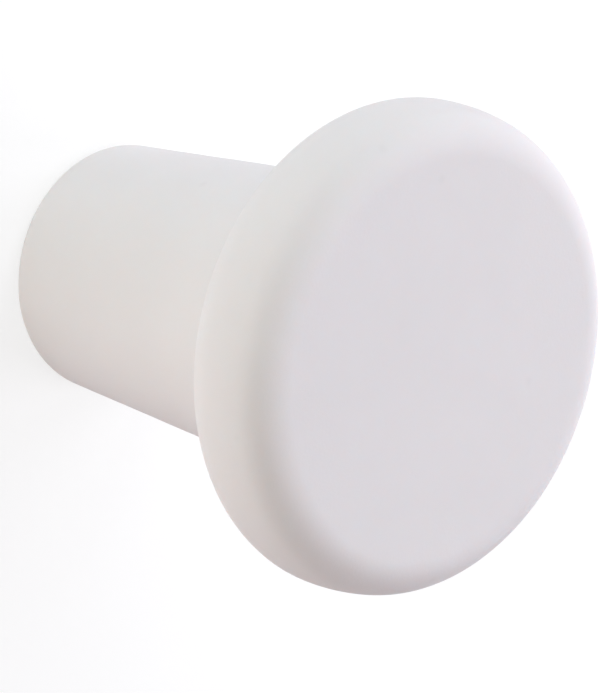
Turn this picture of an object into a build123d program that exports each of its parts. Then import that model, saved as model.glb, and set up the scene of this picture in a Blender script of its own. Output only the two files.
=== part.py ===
from build123d import *

import os
from math import sqrt

# A moulded silicone bottle stopper: a round flat-topped head on a solid tapered plug.
#
# Frame, in millimetres: +Z runs up the stopper's axis, from the plug to the head, and the origin is
# the centre of the plug's flat end, which the stopper stands on. It is one moulding, so it is one
# solid: a single profile turned about Z.

# Head
HEAD_DIAMETER = 34.0  # at its widest circle
HEAD_THICKNESS = 8.0  # from the underside to the top face
WIDEST_ABOVE_UNDERSIDE = 3.3
RIM_CROWN_RADIUS = 10.3  # the rim's gentle bulge, in section
FACE_CORNER_RADIUS = 3.0  # where the rim turns into the top face
UNDERSIDE_CORNER_RADIUS = 3.2  # where the rim turns into the underside
MOST_OF_OVERHANG = 0.65  # the largest share of the underside's overhang that its corner may take

# Plug
PLUG_LENGTH = 27.5  # from the head's underside to the flat end
PLUG_ROOT_DIAMETER = 21.5  # where the taper's line meets the underside
PLUG_END_DIAMETER = 18.5  # where the taper's line meets the flat end
PLUG_ROOT_FILLET = 0.8
PLUG_END_RADIUS = 1.0


def rim_radius_at(height_from_widest):
    """Radius of the crowned rim, at a height above or below its widest circle."""
    inset = RIM_CROWN_RADIUS - sqrt(RIM_CROWN_RADIUS**2 - height_from_widest**2)
    return HEAD_DIAMETER / 2 - inset


def stopper():
    """The whole stopper, from a half section whose corners are then rounded."""
    underside_z = PLUG_LENGTH
    face_z = underside_z + HEAD_THICKNESS
    widest_z = underside_z + WIDEST_ABOVE_UNDERSIDE

    plug_end = (PLUG_END_DIAMETER / 2, 0)
    plug_root = (PLUG_ROOT_DIAMETER / 2, underside_z)
    underside_corner = (rim_radius_at(underside_z - widest_z), underside_z)
    widest = (HEAD_DIAMETER / 2, widest_z)
    face_corner = (rim_radius_at(face_z - widest_z), face_z)

    # The rim's two corners are limited by their walls: neither reaches past the widest circle, and
    # the lower one leaves a flat ring of the underside around the plug.
    overhang = underside_corner[0] - plug_root[0]
    corner_radii = {
        plug_end: PLUG_END_RADIUS,
        plug_root: PLUG_ROOT_FILLET,
        underside_corner: min(UNDERSIDE_CORNER_RADIUS, WIDEST_ABOVE_UNDERSIDE, MOST_OF_OVERHANG * overhang),
        face_corner: min(FACE_CORNER_RADIUS, face_z - widest_z),
    }

    with BuildPart() as part:
        with BuildSketch(Plane.XZ) as section:
            with BuildLine():
                Polyline((0, 0), plug_end, plug_root, underside_corner)
                ThreePointArc(underside_corner, widest, face_corner)
                Polyline(face_corner, (0, face_z), (0, 0))
            make_face()
            for corner, radius in corner_radii.items():
                fillet(section.vertices().sort_by_distance(corner)[0], radius)
        revolve(axis=Axis.Z)
    return part.part


os.makedirs("parts", exist_ok=True)
export_step(stopper(), "parts/stopper.step")
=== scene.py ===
from math import atan2, cos, pi, radians, sin, sqrt, tan

import bpy
from mathutils import Euler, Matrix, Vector, noise

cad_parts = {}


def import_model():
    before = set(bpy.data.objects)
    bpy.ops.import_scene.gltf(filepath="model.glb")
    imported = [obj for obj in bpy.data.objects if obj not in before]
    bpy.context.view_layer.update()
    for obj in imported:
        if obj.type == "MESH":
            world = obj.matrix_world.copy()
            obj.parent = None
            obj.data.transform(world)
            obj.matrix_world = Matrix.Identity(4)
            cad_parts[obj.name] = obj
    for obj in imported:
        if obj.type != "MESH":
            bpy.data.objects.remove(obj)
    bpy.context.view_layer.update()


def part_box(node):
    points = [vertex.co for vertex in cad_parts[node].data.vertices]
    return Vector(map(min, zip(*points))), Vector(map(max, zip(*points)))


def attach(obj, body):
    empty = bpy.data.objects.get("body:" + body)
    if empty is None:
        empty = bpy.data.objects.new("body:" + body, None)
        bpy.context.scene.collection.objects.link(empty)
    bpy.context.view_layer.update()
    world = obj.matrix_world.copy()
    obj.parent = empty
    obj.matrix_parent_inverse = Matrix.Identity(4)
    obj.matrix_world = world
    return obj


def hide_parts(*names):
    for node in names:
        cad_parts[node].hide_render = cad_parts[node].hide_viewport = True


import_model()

# The moulding's section, in metres, with +Z up its axis and z = 0 at the plug's flat end.
MM = 0.001
HEAD_RADIUS = 17.0 * MM
HEAD_THICKNESS = 8.0 * MM
WIDEST_ABOVE_UNDERSIDE = 3.3 * MM
RIM_CROWN_RADIUS = 10.3 * MM
FACE_CORNER_RADIUS = 3.0 * MM
UNDERSIDE_CORNER_RADIUS = 3.2 * MM
PLUG_ROOT_RADIUS = 10.75 * MM
PLUG_END_RADIUS = 9.25 * MM
PLUG_ROOT_FILLET = 0.8 * MM
PLUG_END_CORNER = 1.0 * MM

# The mesh, and the faint unevenness that a moulded rubber surface has.
SEGMENTS = 400
STEP = 0.36 * MM
ARC_STEP = 0.16 * MM
UNEVEN_DEPTH = 0.012 * MM
UNEVEN_WAVE = 5.0 * MM
UNEVEN_ROUGHNESS = 1.0
UNEVEN_LACUNARITY = 2.0
UNEVEN_OCTAVES = 3

# The silicone: its two shades, how far light scatters in it, and how fine each pattern is.
PALE_SHADE = (0.774, 0.750, 0.744, 1)
DEEP_SHADE = (0.744, 0.720, 0.714, 1)
SCATTER_SHARE = 0.5
SCATTER_RADIUS = (1.0, 0.72, 0.62)
SCATTER_DEPTH = 1.2 * MM
CLOUDS_PER_METRE = 130.0
SPECKS_PER_METRE = 200.0
SPECK_REACH = 0.10
SPECK_SHADE = 0.965
PATCHES_PER_METRE = 420.0
SMOOTHEST = 0.58
ROUGHEST = 0.72
GRAINS_PER_METRE = 5200.0
GRAIN_STRENGTH = 0.35
GRAIN_DEPTH = 0.02 * MM

# The camera: it looks along +Y and down at the standing stopper, and is rolled on its side.
CAMERA_ELEVATION = radians(45.43)
CAMERA_ROLL = radians(106.4)
CAMERA_DISTANCE = 0.2032
CAMERA_AIM = Vector((0.00168, -0.00417, 0.02670))
CAMERA_LENS = 155.84
SENSOR = 36.0

# The floor: plain white far out, and paint that takes the shadow near the stopper.
FLOOR_REACH = 3.0
FLOOR_PAINT = (0.92, 0.92, 0.92, 1)
FLOOR_WHITE = 1.08
WHITE_SHARE_NEAR = 0.68
NEAR = 0.05
FAR = 0.22

SKY_COLOUR = (0.92, 0.92, 1.0, 1)
SKY_STRENGTH = 0.21
WHITE = (1, 1, 1, 1)

LAMP_SIZE = 0.3
LAMP_DISTANCE = 0.6
LAMP_TARGET = Vector((0, 0, 0.02))


def fillet(before, corner, after, radius):
    """Centre, first angle and last angle of the arc that rounds a corner between two straight lines."""
    to_before = (Vector(before) - Vector(corner)).normalized()
    to_after = (Vector(after) - Vector(corner)).normalized()
    half = to_before.angle(to_after) / 2
    centre = Vector(corner) + (to_before + to_after).normalized() * (radius / sin(half))
    reach = radius / tan(half)
    first = Vector(corner) + to_before * reach - centre
    last = Vector(corner) + to_after * reach - centre
    return centre, atan2(first.y, first.x), atan2(last.y, last.x)


def arc(centre, radius, first, last):
    """Points along an arc, the shorter way round."""
    turn = (last - first + pi) % (2 * pi) - pi
    steps = max(4, round(abs(turn) * radius / ARC_STEP))
    angles = [first + turn * i / steps for i in range(steps + 1)]
    return [centre + Vector((cos(a), sin(a))) * radius for a in angles]


def line(start, end):
    """Points between two points, without the points themselves."""
    steps = max(2, round((end - start).length / STEP))
    return [start.lerp(end, i / steps) for i in range(1, steps)]


def section(top):
    """The half section as (radius, z) points, from the middle of the flat end to the middle of the face."""
    underside = top - HEAD_THICKNESS
    crown = Vector((HEAD_RADIUS - RIM_CROWN_RADIUS, underside + WIDEST_ABOVE_UNDERSIDE))
    end_corner = (PLUG_END_RADIUS, 0)
    root_corner = (PLUG_ROOT_RADIUS, underside)

    end_round = fillet((0, 0), end_corner, root_corner, PLUG_END_CORNER)
    root_round = fillet(end_corner, root_corner, (HEAD_RADIUS, underside), PLUG_ROOT_FILLET)

    # The rim's two corners meet a flat on one side and the crowned rim on the other.
    def rim_corner(flat_z, inward, radius):
        z = flat_z + inward * radius
        run = sqrt((RIM_CROWN_RADIUS - radius) ** 2 - (z - crown.y) ** 2)
        return Vector((crown.x + run, z)), atan2(z - crown.y, run)

    lower, lower_meets = rim_corner(underside, 1, UNDERSIDE_CORNER_RADIUS)
    upper, upper_meets = rim_corner(top, -1, FACE_CORNER_RADIUS)

    arcs = [
        arc(end_round[0], PLUG_END_CORNER, *end_round[1:]),
        arc(root_round[0], PLUG_ROOT_FILLET, *root_round[1:]),
        arc(lower, UNDERSIDE_CORNER_RADIUS, -pi / 2, lower_meets),
        arc(crown, RIM_CROWN_RADIUS, lower_meets, upper_meets)[1:-1],
        arc(upper, FACE_CORNER_RADIUS, upper_meets, pi / 2),
    ]
    points = [Vector((0, 0))]
    points += line(points[-1], arcs[0][0]) + arcs[0]
    points += line(points[-1], arcs[1][0]) + arcs[1]
    points += line(points[-1], arcs[2][0]) + arcs[2] + arcs[3] + arcs[4]
    middle = Vector((0, top))
    return points + line(points[-1], middle) + [middle]


def moulding(name, top):
    """The stopper's surface: the section turned about Z, a little uneven as moulded."""
    points = section(top)
    turns = [2 * pi * i / SEGMENTS for i in range(SEGMENTS)]
    verts = [(0, 0, points[0].y)]
    for p in points[1:-1]:
        verts += [(p.x * cos(turn), p.x * sin(turn), p.y) for turn in turns]
    verts.append((0, 0, points[-1].y))
    rings = len(points) - 2

    def at(ring, i):
        return 1 + ring * SEGMENTS + i % SEGMENTS

    faces = [(0, at(0, i + 1), at(0, i)) for i in range(SEGMENTS)]
    for r in range(rings - 1):
        faces += [(at(r, i), at(r, i + 1), at(r + 1, i + 1), at(r + 1, i)) for i in range(SEGMENTS)]
    faces += [(at(rings - 1, i), at(rings - 1, i + 1), len(verts) - 1) for i in range(SEGMENTS)]

    mesh = bpy.data.meshes.new(name)
    mesh.from_pydata(verts, [], faces)
    mesh.update()

    # The unevenness is taken inward, so the piece stays inside the CAD model's box.
    normals = [n.vector.copy() for n in mesh.vertex_normals]
    for v, n in zip(mesh.vertices, normals):
        wave = noise.fractal(v.co / UNEVEN_WAVE, UNEVEN_ROUGHNESS, UNEVEN_LACUNARITY, UNEVEN_OCTAVES)
        v.co += n * (wave * UNEVEN_DEPTH - UNEVEN_DEPTH)
    mesh.shade_smooth()
    piece = bpy.data.objects.new(name, mesh)
    bpy.context.scene.collection.objects.link(piece)
    return piece


def node_tree(owner):
    """An empty node tree and short ways to add nodes and links to it."""
    owner.use_nodes = True
    tree = owner.node_tree
    tree.nodes.clear()

    def add(kind, **values):
        node = tree.nodes.new(kind)
        for key, value in values.items():
            if key in node.inputs:
                node.inputs[key].default_value = value
            else:
                setattr(node, key, value)
        return node

    return add, tree.links.new


def silicone():
    """Matte white silicone: light scatters a little below its surface, and it has a fine moulded grain."""
    material = bpy.data.materials.new("silicone")
    add, link = node_tree(material)
    place = add("ShaderNodeTexCoord").outputs["Object"]

    out = add("ShaderNodeOutputMaterial")
    shader = add("ShaderNodeBsdfPrincipled")
    shader.inputs["Subsurface Weight"].default_value = SCATTER_SHARE
    shader.inputs["Subsurface Radius"].default_value = SCATTER_RADIUS
    shader.inputs["Subsurface Scale"].default_value = SCATTER_DEPTH
    shader.inputs["IOR"].default_value = 1.41
    shader.inputs["Specular IOR Level"].default_value = 0.25
    link(shader.outputs["BSDF"], out.inputs["Surface"])

    # Colour: a warm white, with cloudy patches a shade apart.
    clouds = add("ShaderNodeTexNoise", Scale=CLOUDS_PER_METRE, Detail=3.0, Roughness=0.55)
    link(place, clouds.inputs["Vector"])
    tint = add("ShaderNodeMix", data_type="RGBA")
    tint.inputs["A"].default_value = PALE_SHADE
    tint.inputs["B"].default_value = DEEP_SHADE
    link(clouds.outputs["Fac"], tint.inputs["Factor"])

    # A few faint specks, a little darker than the rest.
    cells = add("ShaderNodeTexVoronoi", Scale=SPECKS_PER_METRE)
    link(place, cells.inputs["Vector"])
    speck = add("ShaderNodeMapRange", interpolation_type="SMOOTHSTEP")
    speck.inputs["From Max"].default_value = SPECK_REACH
    speck.inputs["To Min"].default_value = SPECK_SHADE
    link(cells.outputs["Distance"], speck.inputs["Value"])
    specked = add("ShaderNodeMix", data_type="RGBA", blend_type="MULTIPLY")
    specked.inputs["Factor"].default_value = 1.0
    link(tint.outputs["Result"], specked.inputs["A"])
    link(speck.outputs["Result"], specked.inputs["B"])
    link(specked.outputs["Result"], shader.inputs["Base Color"])

    # Roughness: satin patches where the mould was smoother.
    patches = add("ShaderNodeTexNoise", Scale=PATCHES_PER_METRE, Detail=4.0, Roughness=0.6)
    link(place, patches.inputs["Vector"])
    gloss = add("ShaderNodeMapRange")
    gloss.inputs["To Min"].default_value = SMOOTHEST
    gloss.inputs["To Max"].default_value = ROUGHEST
    link(patches.outputs["Fac"], gloss.inputs["Value"])
    link(gloss.outputs["Result"], shader.inputs["Roughness"])

    # Relief: the mould's fine grain.
    grain = add("ShaderNodeTexNoise", Scale=GRAINS_PER_METRE, Detail=2.0, Roughness=0.5)
    link(place, grain.inputs["Vector"])
    relief = add("ShaderNodeBump")
    relief.inputs["Strength"].default_value = GRAIN_STRENGTH
    relief.inputs["Distance"].default_value = GRAIN_DEPTH
    link(grain.outputs["Fac"], relief.inputs["Height"])
    link(relief.outputs["Normal"], shader.inputs["Normal"])
    return material


def seen_directly(add, link):
    """1 where a ray comes straight from the camera, a gloss or a glass, and 0 elsewhere."""
    path = add("ShaderNodeLightPath")
    total = path.outputs["Is Camera Ray"]
    for name in ("Is Glossy Ray", "Is Transmission Ray"):
        join = add("ShaderNodeMath", operation="MAXIMUM")
        link(total, join.inputs[0])
        link(path.outputs[name], join.inputs[1])
        total = join.outputs[0]
    return total


def floor():
    """A plain white floor. Near the stopper it shows the shadow, and further out it fades to plain white."""
    corners = [(-FLOOR_REACH, -FLOOR_REACH, 0), (FLOOR_REACH, -FLOOR_REACH, 0)]
    corners += [(x * -1, y * -1, z) for x, y, z in corners]
    mesh = bpy.data.meshes.new("floor")
    mesh.from_pydata(corners, [], [(0, 1, 2, 3)])
    piece = bpy.data.objects.new("floor", mesh)
    bpy.context.scene.collection.objects.link(piece)

    material = bpy.data.materials.new("floor")
    add, link = node_tree(material)
    out = add("ShaderNodeOutputMaterial")
    paint = add("ShaderNodeBsdfDiffuse", Color=FLOOR_PAINT)
    white = add("ShaderNodeEmission", Color=WHITE, Strength=FLOOR_WHITE)

    reach = add("ShaderNodeVectorMath", operation="LENGTH")
    link(add("ShaderNodeTexCoord").outputs["Object"], reach.inputs[0])
    fade = add("ShaderNodeMapRange", interpolation_type="SMOOTHSTEP")
    fade.inputs["From Min"].default_value = NEAR
    fade.inputs["From Max"].default_value = FAR
    fade.inputs["To Min"].default_value = WHITE_SHARE_NEAR
    fade.inputs["To Max"].default_value = 1.0
    link(reach.outputs["Value"], fade.inputs["Value"])
    shown = add("ShaderNodeMath", operation="MULTIPLY")
    link(fade.outputs["Result"], shown.inputs[0])
    link(seen_directly(add, link), shown.inputs[1])

    mix = add("ShaderNodeMixShader")
    link(shown.outputs[0], mix.inputs[0])
    link(paint.outputs[0], mix.inputs[1])
    link(white.outputs[0], mix.inputs[2])
    link(mix.outputs[0], out.inputs["Surface"])
    mesh.materials.append(material)


def world():
    """Dim soft light from all round. Seen directly it is plain white."""
    made = bpy.data.worlds.new("world")
    bpy.context.scene.world = made
    add, link = node_tree(made)
    out = add("ShaderNodeOutputWorld")

    soft = add("ShaderNodeBackground", Color=SKY_COLOUR, Strength=SKY_STRENGTH)
    white = add("ShaderNodeBackground", Color=WHITE, Strength=1.0)
    mix = add("ShaderNodeMixShader")
    link(seen_directly(add, link), mix.inputs[0])
    link(soft.outputs[0], mix.inputs[1])
    link(white.outputs[0], mix.inputs[2])
    link(mix.outputs[0], out.inputs["Surface"])


def lamp(name, azimuth, elevation, watts, colour):
    """A round soft lamp. Azimuth 0 is on the camera's side of the stopper and 90 on the +X side."""
    light = bpy.data.lights.new(name, "AREA")
    light.shape = "DISK"
    light.size = LAMP_SIZE
    light.energy = watts
    light.color = colour
    lamp_object = bpy.data.objects.new(name, light)
    a, e = radians(azimuth), radians(elevation)
    away = Vector((sin(a) * cos(e), -cos(a) * cos(e), sin(e)))
    lamp_object.location = LAMP_TARGET + away * LAMP_DISTANCE
    lamp_object.rotation_mode = "QUATERNION"
    lamp_object.rotation_quaternion = (-away).to_track_quat("-Z", "Y")
    bpy.context.scene.collection.objects.link(lamp_object)


def camera():
    """The photograph's view: from the front and above, rolled on its side."""
    data = bpy.data.cameras.new("camera")
    data.sensor_width = SENSOR
    data.lens = CAMERA_LENS
    view = bpy.data.objects.new("camera", data)
    forward = Vector((0, cos(CAMERA_ELEVATION), -sin(CAMERA_ELEVATION)))
    view.location = CAMERA_AIM - forward * CAMERA_DISTANCE
    view.rotation_mode = "QUATERNION"
    view.rotation_quaternion = forward.to_track_quat("-Z", "Y") @ Euler((0, 0, CAMERA_ROLL)).to_quaternion()
    bpy.context.scene.collection.objects.link(view)
    bpy.context.scene.camera = view


stopper = moulding("stopper_moulding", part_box("stopper")[1].z)
stopper.data.materials.append(silicone())
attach(stopper, "root")
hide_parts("stopper")

floor()
world()
lamp("back", 180, 44, 1.51, (0.97, 0.93, 1.0))
lamp("back_side", 225, 44, 1.13, (0.92, 0.93, 1.0))
lamp("side", 270, 35, 1.38, (0.93, 0.95, 1.0))
lamp("front_low", 0, 5, 1.74, (0.90, 1.0, 0.93))
lamp("warm_low", 45, 5, 0.94, (1.0, 0.70, 0.60))
camera()
bpy.context.scene.view_settings.view_transform = "Standard"
